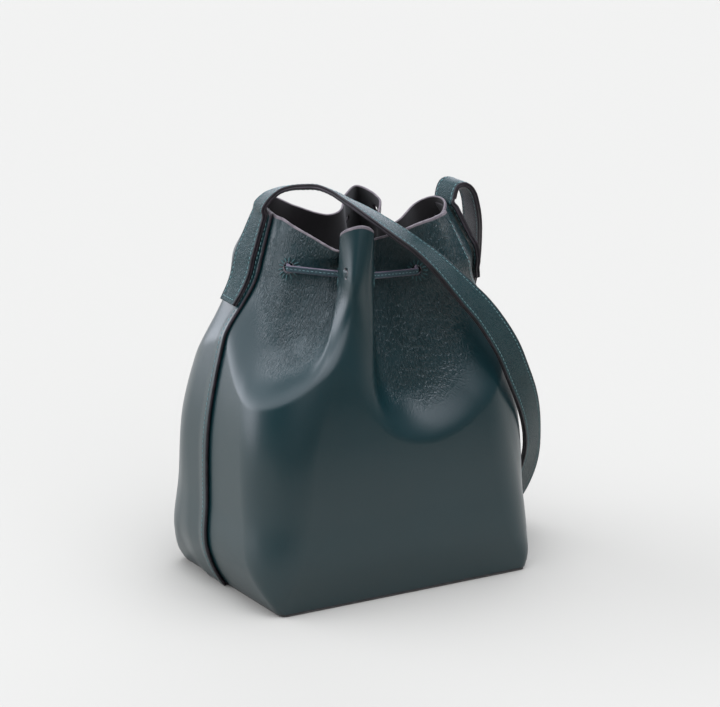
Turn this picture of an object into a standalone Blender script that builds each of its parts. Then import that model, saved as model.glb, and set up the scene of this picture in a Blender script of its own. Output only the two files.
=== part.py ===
"""Small leather bucket bag: two lapped body panels on a stiffened base, gathered at the mouth
by a flat lace through stitched eyelets, with one long two-ply shoulder strap.

Frame: +X to the bag's right, -Y to its front, +Z up, origin on the ground under the base centre.
All design sizes are in millimetres and are turned into metres by MM.
"""
from math import cos, pi, radians, sin

import bmesh
import bpy
from mathutils import Matrix, Vector

MM = 0.001

# ---------------------------------------------------------------- driving dimensions
GAP = 0.3                 # clearance that touching pieces keep
LEATHER = 1.4             # body leather
GATHER_Z = 210.0          # nominal height of the lace
GATHER_T = 0.85           # share of the wall's height below the lace
BASE_HALF_W, BASE_HALF_D, BASE_RADIUS = 90.0, 65.0, 8.0
BASE_THICK = 1.6
BOARD_THICK = 2.0
BOARD_INSET = 2.6         # board and inner base, in from the base's outline
INNER_BASE_THICK = 1.2
WALL_FOOT = BASE_THICK + GAP

COLUMNS = 96              # wall facets round the bag
ROWS_BELOW, ROWS_ABOVE = 15, 3
LAP = 3                   # facets of overlap at a side seam
LAP_LIFT = LEATHER + GAP + 0.1

STRAP_WIDTH, STRAP_PLY = 18.0, 1.5
LACE_WIDTH, LACE_PINCHED, LACE_THICK = 6.0, 4.4, 1.7
EYELET_RADIUS = 4.0
RING_RADIUS, RING_THREAD = 5.0, 0.4
BACKING_THICK = 1.2

LACE_END_TOP = (38.0, 61.8, 203.0)   # middle of the two hanging ends, where they start
LACE_END_WAY = (0.0, 0.13, -0.99)    # the way they hang, along the back panel
LACE_END_APART = 8.2
LACE_END_LENGTH = 60.0
KNOT_SIZE = (7.0, 6.4, 8.0)
SLIDER_SIZE = (18.6, 6.2, 12.0)
SLIDER_SLOT = (6.6, 3.0)
SLIDER_DROP = 8.5                    # middle of the slider below the top of the ends

# Outline of the full, unpleated bag: height, half width, half depth, corner radius, centre x.
HULL = (
    (0, 90, 65, 8, 0), (8, 94.5, 66.5, 12, -1), (25, 100, 69.5, 28, -3),
    (60, 100, 70, 32, -3.5), (110, 97.5, 69, 37, -4.5), (150, 91, 66, 44, -3.5),
    (180, 84.5, 60, 46, -2), (210, 75, 54, 46, -2), (243, 56, 42, 40, 0),
)

# Gathered mouth: share of the way round from the left seam, the wall at the lace, the rim.
MOUTH = (
    (0.000, (-65, 4, 210), (-56, 4, 241)),
    (0.035, (-62, -7, 211), (-54, -4, 240)),
    (0.080, (-57, -16, 212), (-51, -11, 237)),
    (0.125, (-45, -21, 211), (-43, -20, 231)),
    (0.165, (-32, -25, 210), (-32, -33, 223)),
    (0.190, (-24, -29, 209), (-26, -35, 224)),
    (0.215, (-34, -39, 209), (-34, -41, 236)),
    (0.250, (-33, -57, 208), (-26, -52, 243)),
    (0.285, (-15, -50, 208), (-16, -52, 238)),
    (0.310, (-12, -36, 208), (-12, -36, 228)),
    (0.335, (-5, -37, 208), (-2, -38, 229)),
    (0.375, (5, -41, 207), (10, -43, 233)),
    (0.420, (19, -44, 206), (19, -45, 236)),
    (0.460, (38, -50, 205), (32, -43, 238)),
    (0.500, (57, -44, 206), (46, -32, 237)),
    (0.540, (70, -29, 207), (56, -18, 240)),
    (0.580, (70, -10, 208), (54, -6, 240)),
    (0.620, (54, 2, 208), (44, 0, 235)),
    (0.665, (30, 0, 207), (26, -6, 227)),
    (0.690, (24, 8, 208), (19, 2, 227)),
    (0.715, (36, 30, 208), (27, 13, 237)),
    (0.750, (36, 54, 209), (24, 37, 241)),
    (0.785, (16, 42, 210), (8, 27, 239)),
    (0.810, (8, 24, 210), (-1, 17, 233)),
    (0.835, (-8, 20, 210), (-12, 16, 232)),
    (0.880, (-32, 28, 211), (-29, 25, 238)),
    (0.920, (-52, 40, 211), (-38, 37, 242)),
    (0.960, (-68, 34, 211), (-50, 30, 242)),
)

# Share of the way round, height at which the gathers begin there, and how much of the way in the
# leather goes within SHELF_RISE above that, so that a valley starts like the bowl of a spoon.
FOLDS = (
    (0.0, 165, 0.0), (0.03, 150, 0.1), (0.06, 139, 0.22), (0.09, 133, 0.3), (0.12, 132, 0.3),
    (0.165, 138, 0.22), (0.215, 152, 0.06), (0.25, 158, 0.0), (0.285, 126, 0.2), (0.32, 106, 0.36),
    (0.35, 100, 0.42), (0.39, 106, 0.38), (0.42, 120, 0.26), (0.46, 142, 0.1), (0.5, 160, 0.0),
    (0.56, 160, 0.0), (0.58, 140, 0.12), (0.625, 112, 0.3), (0.665, 104, 0.36), (0.71, 120, 0.2),
    (0.75, 150, 0.0), (0.79, 125, 0.2), (0.835, 108, 0.36), (0.88, 116, 0.28), (0.93, 138, 0.12),
    (0.97, 155, 0.0), (1.0, 165, 0.0),
)
SHELF_RISE = 34.0
# How far the folds lean round the bag (0 to 1).
FOLD_LEAN = ((0.0, 0.0), (0.12, 0.5), (0.25, 1.0), (0.5, 0.68), (0.75, 1.0), (0.88, 0.5), (1.0, 0.0))
LEAN_SHARE = 0.066
SEAM_SHARE = 0.008        # the side seams stand this far towards the back at the left

# Strap ends: share of the way round at their foot and at the rim, and the level of their foot.
LEFT_TAB, RIGHT_TAB = (-0.016, -0.016, 0.735), (0.546, 0.56, 0.785)
TAB_TOP, TAB_STEPS, TAB_EASE = 0.985, 8, 0.5
STRAP_STACK = 2 * STRAP_PLY + GAP
BACKING_SHARE = 0.013

# Eyelets as shares of the way round, and the way the lace passes through each one, on its
# way round from the back's left gather to the right one.
EYELETS = (0.080, 0.2065, 0.2935, 0.420, 0.632, 0.895)
LACE_WAYS = ((-0.14, -1.0), (0.86, -0.5), (0.86, -0.5), (0.62, 0.78), (0.22, 0.98), (-0.66, -0.75))

# Centre line of the shoulder strap between its two sewn ends, with the way its width points.
STRAP_ROUTE = (
    ((-59.5, 14.5, 245), (0.24, 0.97, 0.0)),
    ((-55, 12.5, 250.5), (0.32, 0.94, -0.08)),
    ((-49, 10, 254), (0.4, 0.9, -0.2)),
    ((-43, 6, 256), (0.45, 0.86, -0.27)),
    ((-36.5, 1, 257), (0.48, 0.83, -0.3)),
    ((-29, -5, 257), (0.5, 0.82, -0.3)),
    ((-22, -13, 254), (0.6, 0.75, -0.3)),
    ((-18, -21, 251), (0.7, 0.65, -0.3)),
    ((-14, -30, 248), (0.78, 0.57, -0.25)),
    ((-7, -42, 242), (0.78, 0.62, -0.1)),
    ((1, -52, 235), (0.75, 0.65, 0.0)),
    ((11.5, -59, 226), (0.66, 0.73, 0.14)),
    ((23, -64, 214.5), (0.6, 0.7, 0.38)),
    ((35, -67, 201), (0.64, 0.55, 0.53)),
    ((44, -68, 191), (0.68, 0.42, 0.6)),
    ((53, -68.5, 181), (0.72, 0.3, 0.62)),
    ((62.5, -69, 168), (0.78, 0.18, 0.6)),
    ((73, -68, 151.5), (0.84, 0.1, 0.54)),
    ((82, -65, 134), (0.88, 0.12, 0.46)),
    ((92.5, -59, 114.5), (0.88, 0.25, 0.35)),
    ((102.5, -49, 94.5), (0.86, 0.42, 0.2)),
    ((110.5, -37, 74), (0.85, 0.5, 0.05)),
    ((117, -22, 54), (0.9, 0.4, 0.0)),
    ((121, -6, 35), (0.95, 0.2, 0.1)),
    ((123, 12, 17), (0.97, 0.0, 0.1)),
    ((123, 28, 6), (0.97, -0.15, 0.05)),
    ((121.5, 44, 2.6), (0.97, -0.25, 0.0)),
    ((119.5, 58, 6), (0.95, -0.3, 0.0)),
    ((117, 70, 18), (0.93, -0.37, 0.0)),
    ((114.5, 76, 38), (0.9, -0.43, 0.0)),
    ((112, 75, 63), (0.85, -0.52, 0.0)),
    ((110, 69, 93), (0.75, -0.66, 0.0)),
    ((107.5, 58, 123), (0.6, -0.79, -0.1)),
    ((104, 43, 151), (0.4, -0.9, -0.15)),
    ((100, 27, 176), (0.2, -0.95, -0.2)),
    ((96, 16, 191), (0.1, -0.97, -0.2)),
    ((92, 8, 203), (0.05, -0.98, -0.15)),
    ((87.5, 0, 214.5), (0.0, -0.99, -0.1)),
    ((83.5, -6, 224), (0.0, -1.0, -0.05)),
    ((80, -10, 233), (0.0, -1.0, 0.0)),
    ((77.5, -10.5, 240.5), (0.03, -1.0, 0.0)),
    ((73.5, -10.5, 246), (0.08, -1.0, 0.0)),
    ((68, -10.5, 248.5), (0.12, -0.99, 0.0)),
    ((63, -10.5, 246.5), (0.16, -0.98, 0.0)),
)


UP = Vector((0.0, 0.0, 1.0))


# ---------------------------------------------------------------- shared helpers
def clear_scene():
    for item in list(bpy.data.objects):
        bpy.data.objects.remove(item, do_unlink=True)


def make_collection(name):
    group = bpy.data.collections.new(name)
    bpy.context.scene.collection.children.link(group)
    return group


def make_material(name, colour, roughness, metallic=0.0):
    material = bpy.data.materials.new(name)
    material.use_nodes = True
    shader = material.node_tree.nodes["Principled BSDF"]
    shader.inputs["Base Color"].default_value = (*colour, 1.0)
    shader.inputs["Roughness"].default_value = roughness
    shader.inputs["Metallic"].default_value = metallic
    return material


def add_object(name, mesh, material, group):
    item = bpy.data.objects.new(name, mesh)
    if material:
        mesh.materials.append(material)
    group.objects.link(item)
    return item


def grid_mesh(name, rows):
    """Open surface through rows of points, faced so that rows x columns points outward."""
    mesh = bpy.data.meshes.new(name)
    shape = bmesh.new()
    verts = [[shape.verts.new(Vector(point) * MM) for point in row] for row in rows]
    for low, high in zip(verts, verts[1:]):
        for left in range(len(low) - 1):
            shape.faces.new((low[left], low[left + 1], high[left + 1], high[left]))
    shape.to_mesh(mesh)
    shape.free()
    mesh.shade_smooth()
    return mesh


def solidify(item, thickness, offset, even=True):
    skin = item.modifiers.new("thickness", "SOLIDIFY")
    skin.thickness = thickness * MM
    skin.offset = offset
    skin.use_even_offset = even


def block(name, size, material, group):
    mesh = bpy.data.meshes.new(name)
    shape = bmesh.new()
    bmesh.ops.create_cube(shape, size=1.0)
    bmesh.ops.scale(shape, vec=Vector(size) * MM, verts=shape.verts)
    shape.to_mesh(mesh)
    shape.free()
    return add_object(name, mesh, material, group)


def lerp_table(table, x):
    """Straight-line reading of a table of (x, value, ...) rows."""
    if x <= table[0][0]:
        return table[0][1:]
    for low, high in zip(table, table[1:]):
        if x <= high[0]:
            share = (x - low[0]) / (high[0] - low[0])
            return tuple(a + (b - a) * share for a, b in zip(low[1:], high[1:]))
    return table[-1][1:]


def ease(low, high, x):
    share = min(max((x - low) / (high - low), 0.0), 1.0)
    return share * share * (3 - 2 * share)


def hermite(p0, p1, p2, p3, t0, t1, t2, t3, t):
    """Catmull-Rom reading between p1 and p2 with uneven keys."""
    span = t2 - t1
    u = (t - t1) / span
    m1 = (p2 - p0) * (span / (t2 - t0))
    m2 = (p3 - p1) * (span / (t3 - t1))
    return (p1 * (2 * u**3 - 3 * u**2 + 1) + m1 * (u**3 - 2 * u**2 + u)
            + p2 * (3 * u**2 - 2 * u**3) + m2 * (u**3 - u**2))


def closed_curve(keys, points, share):
    share %= 1.0
    count = len(keys)
    start = max(i for i in range(count) if keys[i] <= share)
    index = [(start + step) % count for step in (-1, 0, 1, 2)]
    key = [keys[(start + step) % count] + (start + step) // count for step in (-1, 0, 1, 2)]
    return hermite(*[points[i] for i in index], *key, share)


def open_curve(points, steps):
    """Points of a smooth curve through all the given ones, steps to each stretch."""
    ends = [points[0] * 2 - points[1]] + list(points) + [points[-1] * 2 - points[-2]]
    curve = []
    for i in range(1, len(ends) - 2):
        for step in range(steps):
            curve.append(hermite(*ends[i - 1:i + 3], -1, 0, 1, 2, step / steps))
    return curve + [points[-1].copy()]


# ---------------------------------------------------------------- the wall's shape
def rounded_outline(half_w, half_d, radius, share):
    """Point on a rounded rectangle, from (-half_w, 0) towards the front, by arc length."""
    straight = ((half_d - radius), 2 * (half_w - radius), 2 * (half_d - radius),
                2 * (half_w - radius), (half_d - radius))
    corner = radius * pi / 2
    left = (share % 1.0) * (sum(straight) + 4 * corner)
    corners = ((-half_w + radius, -half_d + radius, 180), (half_w - radius, -half_d + radius, 270),
               (half_w - radius, half_d - radius, 0), (-half_w + radius, half_d - radius, 90))
    place, heading = Vector((-half_w, 0.0)), Vector((0.0, -1.0))
    for i, run in enumerate(straight):
        if left <= run or i == len(corners):
            return place + heading * left
        left -= run
        x, y, start = corners[i]
        if left <= corner:
            angle = radians(start) + left / radius
            return Vector((x + radius * cos(angle), y + radius * sin(angle)))
        left -= corner
        turned = radians(start + 90)
        place = Vector((x + radius * cos(turned), y + radius * sin(turned)))
        heading = Vector((-heading.y, heading.x))
    return place


MOUTH_KEYS = [row[0] for row in MOUTH]
LACE_LEVEL = [Vector(row[1]) for row in MOUTH]
RIM_LEVEL = [Vector(row[2]) for row in MOUTH]


def fold_weight(height, start, shelf):
    """How far the wall has gone from its full outline to its place at the lace, 0 to 1."""
    rise = min(max((height - start) / (GATHER_Z - start), 0.0), 1.0)
    gentle = 0.6 * rise * rise * (3 - 2 * rise) + 0.4 * rise**1.5
    steady = gentle + (rise**1.25 - gentle) * min(3 * shelf, 1.0)
    return shelf * ease(start, start + SHELF_RISE, height) + (1 - shelf) * steady


def wall(share, level):
    """Outer face of the wall: share round the bag, level 0 at the foot and 1 at the rim."""
    at_lace = closed_curve(MOUTH_KEYS, LACE_LEVEL, share)
    if level > GATHER_T:
        at_rim = closed_curve(MOUTH_KEYS, RIM_LEVEL, share)
        return at_lace.lerp(at_rim, (level - GATHER_T) / (1 - GATHER_T))
    height = WALL_FOOT + (GATHER_Z - WALL_FOOT) * level / GATHER_T
    half_w, half_d, radius, centre_x = lerp_table(HULL, height)
    lean = LEAN_SHARE * lerp_table(FOLD_LEAN, share % 1.0)[0] * ease(5, 110, height)
    outline = rounded_outline(half_w, half_d, radius, share - lean - SEAM_SHARE)
    outline.x += centre_x
    weight = fold_weight(height, *lerp_table(FOLDS, share % 1.0))
    flat = outline.lerp(at_lace.xy, weight)
    tilt = 1 + (at_lace.z / GATHER_Z - 1) * ease(100, GATHER_Z, height)
    return Vector((flat.x, flat.y, height * tilt))


def wall_frame(share, level):
    """Point on the wall with its unit tangent round the bag and its outward normal."""
    step = 0.004
    round_bag = wall(share + step, level) - wall(share - step, level)
    up = wall(share, min(level + 0.01, 1.0)) - wall(share, level - 0.01)
    tangent = round_bag.normalized()
    return wall(share, level), tangent, round_bag.cross(up).normalized()


def wall_levels():
    below = [GATHER_T * i / ROWS_BELOW for i in range(ROWS_BELOW)]
    return below + [GATHER_T + (1 - GATHER_T) * i / ROWS_ABOVE for i in range(ROWS_ABOVE + 1)]


def build_panel(name, first, last, lapped_end, material, group):
    """One body panel from column first to last; lapped_end lies over the other panel."""
    rows = []
    for level in wall_levels():
        row = []
        for column in range(first, last + 1):
            share = column / COLUMNS
            point, _, normal = wall_frame(share, level)
            inward = abs(column - lapped_end)
            lift = LAP_LIFT * (1 - ease(LAP, LAP + 3, inward))
            row.append(point + normal * lift)
        rows.append(row)
    panel = add_object(name, grid_mesh(name, rows), material, group)
    solidify(panel, LEATHER, -1.0)
    return panel


# ---------------------------------------------------------------- base
def build_plate(name, inset, bottom, thickness, material, group):
    curve = bpy.data.curves.new(name, "CURVE")
    curve.dimensions = "2D"
    curve.fill_mode = "BOTH"
    curve.extrude = thickness / 2 * MM
    outline = curve.splines.new("POLY")
    steps = 80
    outline.points.add(steps - 1)
    for i in range(steps):
        spot = rounded_outline(BASE_HALF_W - inset, BASE_HALF_D - inset,
                               max(BASE_RADIUS - inset, 3.0), i / steps)
        outline.points[i].co = (spot.x * MM, spot.y * MM, 0, 1)
    outline.use_cyclic_u = True
    curve.materials.append(material)
    plate = bpy.data.objects.new(name, curve)
    plate.location.z = (bottom + thickness / 2) * MM
    group.objects.link(plate)
    return plate


# ---------------------------------------------------------------- ribbons: strap and lace
def ribbon(name, centres, turns, width, lift, thickness, material, group):
    """Flat band along centres: turns point across it, lift moves it along its own normal.

    Where turns are longer or shorter than 1, the band is wider or narrower there.
    """
    rows = []
    for i, centre in enumerate(centres):
        ahead = centres[min(i + 1, len(centres) - 1)] - centres[max(i - 1, 0)]
        across = turns[i] - ahead * (turns[i].dot(ahead) / ahead.dot(ahead))
        face = ahead.cross(across).normalized()
        half = across.normalized() * (turns[i].length * width / 2)
        middle = centre + face * lift
        rows.append([middle - half, middle, middle + half])
    band = add_object(name, grid_mesh(name, rows), material, group)
    solidify(band, thickness, 0.0, even=False)
    return band


def tab_path(tab, lift):
    """Centre line and width direction of a sewn strap end, lying on the wall."""
    low_share, top_share, low_level = tab
    centres, widths = [], []
    for i in range(TAB_STEPS + 1):
        along = i / TAB_STEPS
        level = low_level + (TAB_TOP - low_level) * along
        share = low_share + (top_share - low_share) * along
        point, tangent, normal = wall_frame(share, level)
        centres.append(point + normal * lift)
        widths.append(tangent)
    return centres, widths


def strap_route():
    left, left_width = tab_path(LEFT_TAB, LAP_LIFT + STRAP_STACK / 2 + GAP + 2 * TAB_EASE)
    right, right_width = tab_path(RIGHT_TAB, STRAP_STACK / 2 + GAP + TAB_EASE)
    centres = left + [Vector(point) for point, _ in STRAP_ROUTE] + right[::-1]
    ends = [-way for way in left_width], [-way for way in right_width[::-1]]
    widths = ends[0] + [Vector(way) for _, way in STRAP_ROUTE] + ends[1]
    return open_curve(centres, 2), [turn.normalized() for turn in open_curve(widths, 2)]


def build_backing(name, tab, material, group):
    """Leather patch inside the wall that takes a strap end's stitching."""
    low_share, top_share, low_level = tab
    rows = []
    for i in range(TAB_STEPS + 1):
        along = i / TAB_STEPS
        level = low_level + (TAB_TOP - low_level) * along
        middle = low_share + (top_share - low_share) * along
        row = []
        for step in range(-2, 3):
            point, _, normal = wall_frame(middle + step * BACKING_SHARE / 2, level)
            row.append(point - normal * (LEATHER + GAP))
        rows.append(row)
    patch = add_object(name, grid_mesh(name, rows), material, group)
    solidify(patch, BACKING_THICK, -1.0)
    return patch


# ---------------------------------------------------------------- lace, eyelets, slider
def through_eyelet(number):
    """Lace path through an eyelet, pinched where it fills the hole."""
    point, _, normal = wall_frame(EYELETS[number], GATHER_T)
    middle = point - normal * (LEATHER / 2)
    way = Vector((*LACE_WAYS[number], 0.0)).normalized()
    pinch = UP * (LACE_PINCHED / LACE_WIDTH)
    return [(middle + way * along, pinch) for along in (-4.2, -1, 1, 4.2)]


def end_top(side):
    return Vector(LACE_END_TOP) + Vector((side * LACE_END_APART / 2, 0, 0))


def lace_route():
    """Centre line and width direction of the lace, from its left hanging end round to its right."""
    up, across = UP, Vector((1, 0, 0))
    way = Vector(LACE_END_WAY).normalized()
    start = [(end_top(-1) - way * GAP, across), (end_top(-1) - way * 2.6, across),
             (Vector((33.0, 61.0, 208.6)), (across + up * 0.5).normalized()),
             (Vector((30.0, 59.8, 211.9)), (up + across * 0.5).normalized()), (Vector((24.5, 56.6, 212.6)), up),
             (Vector((14.5, 50.0, 212.0)), up), (Vector((-8.0, 44.0, 211.5)), up)]
    stops = [through_eyelet(number) for number in (5, 0, 1, 2, 3, 4)]
    end = [(Vector((45.6, 22.0, 208.5)), up), (Vector((43.2, 44.0, 209.8)), up),
           (Vector((43.2, 54.0, 211.2)), (up + across * 0.1).normalized()),
           (Vector((43.4, 60.4, 210.6)), (up * 0.9 + across * 0.6).normalized()),
           (Vector((42.6, 61.8, 207.6)), (up * 0.3 + across).normalized()), (end_top(1) - way * 2.6, across),
           (end_top(1) - way * GAP, across)]
    route = start + [spot for stop in stops for spot in stop] + end
    return open_curve([point for point, _ in route], 2), open_curve([turn for _, turn in route], 2)


def build_lace_end(name, side, material, group):
    way = Vector(LACE_END_WAY).normalized()
    top = end_top(side)
    centres = [top + way * (LACE_END_LENGTH * i / 4) for i in range(5)]
    return ribbon(name, centres, [Vector((1, 0, 0))] * 5, LACE_WIDTH, 0.0, LACE_THICK, material, group)


def build_knot(name, side, material, group):
    """Overhand knot that stops a lace end: a small rounded lump below it."""
    way = Vector(LACE_END_WAY).normalized()
    middle = end_top(side) + way * (LACE_END_LENGTH + GAP + KNOT_SIZE[2] / 2)
    mesh = bpy.data.meshes.new(name)
    shape = bmesh.new()
    bmesh.ops.create_uvsphere(shape, u_segments=12, v_segments=8, radius=0.5)
    bmesh.ops.scale(shape, vec=Vector(KNOT_SIZE) * MM, verts=shape.verts)
    shape.to_mesh(mesh)
    shape.free()
    mesh.shade_smooth()
    knot = add_object(name, mesh, material, group)
    knot.location = middle * MM
    return knot


def build_slider(material, group, cutters):
    """Leather keeper with two slots; it slides on the lace ends and holds the mouth closed."""
    way = Vector(LACE_END_WAY).normalized()
    middle = Vector(LACE_END_TOP) + way * SLIDER_DROP
    across = Vector((1, 0, 0))
    turn = Matrix((across, (-way).cross(across), -way)).transposed().to_4x4()
    slider = block("lace_slider", SLIDER_SIZE, material, group)
    slider.matrix_world = Matrix.Translation(middle * MM) @ turn
    edge = slider.modifiers.new("edges", "BEVEL")
    edge.width = 1.2 * MM
    edge.segments = 2
    for side in (-1, 1):
        slot = block(f"slot_cutter_{side}", (*SLIDER_SLOT, 2 * SLIDER_SIZE[2]), None, cutters)
        shift = Matrix.Translation(Vector((side * LACE_END_APART / 2, 0, 0)) * MM)
        slot.matrix_world = slider.matrix_world @ shift
        slot.hide_render = True
        slot.display_type = "WIRE"
        cut = slider.modifiers.new("slot", "BOOLEAN")
        cut.operation = "DIFFERENCE"
        cut.solver = "EXACT"
        cut.object = slot
    return slider


def build_eyelets(panels, cutters):
    for number, share in enumerate(EYELETS, 1):
        point, _, normal = wall_frame(share, GATHER_T)
        mesh = bpy.data.meshes.new(f"eyelet_cutter_{number}")
        shape = bmesh.new()
        bmesh.ops.create_cone(shape, cap_ends=True, segments=16, radius1=EYELET_RADIUS * MM,
                              radius2=EYELET_RADIUS * MM, depth=8 * MM)
        shape.to_mesh(mesh)
        shape.free()
        cutter = add_object(f"eyelet_cutter_{number}", mesh, None, cutters)
        turn = normal.to_track_quat("Z", "Y").to_matrix().to_4x4()
        cutter.matrix_world = Matrix.Translation((point - normal * (LEATHER / 2)) * MM) @ turn
        cutter.hide_render = True
        cutter.display_type = "WIRE"
        hole = panels[0 if share < 0.5 else 1].modifiers.new(f"eyelet_{number}", "BOOLEAN")
        hole.operation = "DIFFERENCE"
        hole.solver = "EXACT"
        hole.object = cutter


def build_rings(material, group):
    """Thread sewn round each eyelet, as a ring that follows the wall."""
    for number, share in enumerate(EYELETS, 1):
        step = 0.004
        per_share = (wall(share + step, GATHER_T) - wall(share - step, GATHER_T)).length / (2 * step)
        per_level = (wall(share, GATHER_T + step) - wall(share, GATHER_T - step)).length / (2 * step)
        curve = bpy.data.curves.new(f"eyelet_stitching_{number}", "CURVE")
        curve.dimensions = "3D"
        curve.bevel_depth = RING_THREAD * MM
        curve.bevel_resolution = 1
        loop = curve.splines.new("POLY")
        sides = 18
        loop.points.add(sides - 1)
        for i in range(sides):
            angle = 2 * pi * i / sides
            point, _, normal = wall_frame(share + cos(angle) * RING_RADIUS / per_share,
                                          GATHER_T + sin(angle) * RING_RADIUS / per_level)
            loop.points[i].co = (*((point + normal * (RING_THREAD + GAP)) * MM), 1)
        loop.use_cyclic_u = True
        curve.materials.append(material)
        ring = bpy.data.objects.new(curve.name, curve)
        group.objects.link(ring)


def main():
    clear_scene()
    bag = make_collection("bucket_bag")
    cutters = make_collection("cutters")
    body = make_material("body_leather", (0.010, 0.045, 0.048), 0.42)
    board = make_material("board", (0.20, 0.17, 0.13), 0.9)
    inside = make_material("raw_leather", (0.012, 0.008, 0.008), 0.85)
    strap = make_material("strap_leather", (0.016, 0.062, 0.066), 0.5)
    lace = make_material("lace_leather", (0.020, 0.055, 0.062), 0.5)
    thread = make_material("thread", (0.06, 0.13, 0.13), 0.7)

    half = COLUMNS // 2
    front = build_panel("front_panel", -LAP, half, half, body, bag)
    back = build_panel("back_panel", half - LAP, COLUMNS, COLUMNS, body, bag)
    build_plate("base_panel", 0.0, 0.0, BASE_THICK, body, bag)
    build_plate("base_board", BOARD_INSET, WALL_FOOT, BOARD_THICK, board, bag)
    build_plate("inner_base", BOARD_INSET, WALL_FOOT + BOARD_THICK + GAP, INNER_BASE_THICK, inside, bag)

    centres, widths = strap_route()
    apart = (STRAP_PLY + GAP) / 2
    ribbon("strap_outer", centres, widths, STRAP_WIDTH, apart, STRAP_PLY, strap, bag)
    ribbon("strap_lining", centres, widths, STRAP_WIDTH, -apart, STRAP_PLY, strap, bag)
    build_backing("left_strap_backing", LEFT_TAB, inside, bag)
    build_backing("right_strap_backing", RIGHT_TAB, inside, bag)

    build_eyelets((front, back), cutters)
    build_rings(thread, bag)
    centres, widths = lace_route()
    ribbon("drawstring", centres, widths, LACE_WIDTH, 0.0, LACE_THICK, lace, bag)
    for name, side in (("left", -1), ("right", 1)):
        build_lace_end(f"lace_end_{name}", side, lace, bag)
        build_knot(f"lace_knot_{name}", side, lace, bag)
    build_slider(strap, bag, cutters)


if __name__ == "__main__":
    main()
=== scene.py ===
"""Looks of the small leather bucket bag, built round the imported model.

Sizes are in millimetres and are turned into metres by MM. The wall, the strap and the lace
repeat the design of part.py, read more finely.
"""
from math import cos, pi, radians, sin

import bmesh
import bpy
import numpy as np
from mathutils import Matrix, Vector


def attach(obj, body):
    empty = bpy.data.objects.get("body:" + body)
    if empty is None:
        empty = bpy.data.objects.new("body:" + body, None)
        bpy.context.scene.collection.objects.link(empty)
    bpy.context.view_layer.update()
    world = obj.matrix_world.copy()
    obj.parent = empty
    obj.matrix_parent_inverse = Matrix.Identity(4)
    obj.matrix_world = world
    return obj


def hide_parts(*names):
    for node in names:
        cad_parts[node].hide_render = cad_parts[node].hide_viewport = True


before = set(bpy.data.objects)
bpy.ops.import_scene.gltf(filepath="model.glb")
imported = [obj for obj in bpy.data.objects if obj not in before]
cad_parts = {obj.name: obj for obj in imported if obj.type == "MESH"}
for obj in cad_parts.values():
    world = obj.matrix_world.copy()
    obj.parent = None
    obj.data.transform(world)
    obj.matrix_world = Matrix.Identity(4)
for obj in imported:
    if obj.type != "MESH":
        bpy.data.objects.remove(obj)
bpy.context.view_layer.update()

MM = 0.001
BAG, SLIDER = "bag", "slider"

# ---------------------------------------------------------------- driving dimensions
GAP = 0.3
LEATHER = 1.4
GATHER_Z = 210.0
GATHER_T = 0.85
BASE_HALF_W, BASE_HALF_D, BASE_RADIUS = 90.0, 65.0, 4.0     # corners sharper than the solids' 8 mm
BASE_THICK, BOARD_THICK, INNER_BASE_THICK = 1.6, 2.0, 1.2
BOARD_INSET = 2.6
WALL_FOOT = BASE_THICK + GAP
LAP_SHARE = 3 / 96
LAP_LIFT = LEATHER + GAP + 0.1
EDGE_EXTRA = 0.7          # the lapped edges are turned and padded by this much

STRAP_WIDTH, STRAP_PLY = 18.0, 1.5
LACE_WIDTH, LACE_PINCHED, LACE_THICK = 6.0, 4.4, 1.7
EYELET_RADIUS = 3.7
RING_RADIUS = 7.1
BACKING_THICK = 1.2

LACE_END_TOP = (38.0, 61.8, 203.0)
LACE_END_WAY = (0.0, 0.13, -0.99)
LACE_END_APART = 8.2
LACE_END_LENGTH = 60.0
KNOT_SIZE = (7.0, 6.4, 8.0)
SLIDER_SIZE = (18.6, 6.2, 12.0)
SLIDER_DROP = 8.5

HULL = (
    (0, 90, 65, 4, 0), (8, 94.5, 66.5, 8, -1), (25, 100, 69.5, 22, -3),
    (60, 100, 70, 32, -3.5), (110, 97.5, 69, 37, -4.5), (150, 91, 66, 44, -3.5),
    (180, 84.5, 60, 46, -2), (210, 75, 54, 46, -2), (243, 56, 42, 40, 0),
)

MOUTH = (
    (0.000, (-65, 4, 210), (-56, 4, 241)),
    (0.035, (-62, -7, 211), (-54, -4, 240)),
    (0.080, (-57, -16, 212), (-51, -11, 237)),
    (0.125, (-45, -21, 211), (-43, -20, 231)),
    (0.165, (-32, -25, 210), (-32, -33, 223)),
    (0.190, (-24, -29, 209), (-26, -35, 224)),
    (0.215, (-34, -39, 209), (-34, -41, 236)),
    (0.250, (-33, -57, 208), (-26, -52, 243)),
    (0.285, (-15, -50, 208), (-16, -52, 238)),
    (0.310, (-12, -36, 208), (-12, -36, 228)),
    (0.335, (-5, -37, 208), (-2, -38, 229)),
    (0.375, (5, -41, 207), (10, -43, 233)),
    (0.420, (19, -44, 206), (19, -45, 236)),
    (0.460, (38, -50, 205), (32, -43, 238)),
    (0.500, (57, -44, 206), (46, -32, 237)),
    (0.540, (70, -29, 207), (56, -18, 240)),
    (0.580, (70, -10, 208), (54, -6, 240)),
    (0.620, (54, 2, 208), (44, 0, 235)),
    (0.665, (30, 0, 207), (26, -6, 227)),
    (0.690, (24, 8, 208), (19, 2, 227)),
    (0.715, (36, 30, 208), (27, 13, 237)),
    (0.750, (36, 54, 209), (24, 37, 241)),
    (0.785, (16, 42, 210), (8, 27, 239)),
    (0.810, (8, 24, 210), (-1, 17, 233)),
    (0.835, (-8, 20, 210), (-12, 16, 232)),
    (0.880, (-32, 28, 211), (-29, 25, 238)),
    (0.920, (-52, 40, 211), (-38, 37, 242)),
    (0.960, (-68, 34, 211), (-50, 30, 242)),
)

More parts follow.
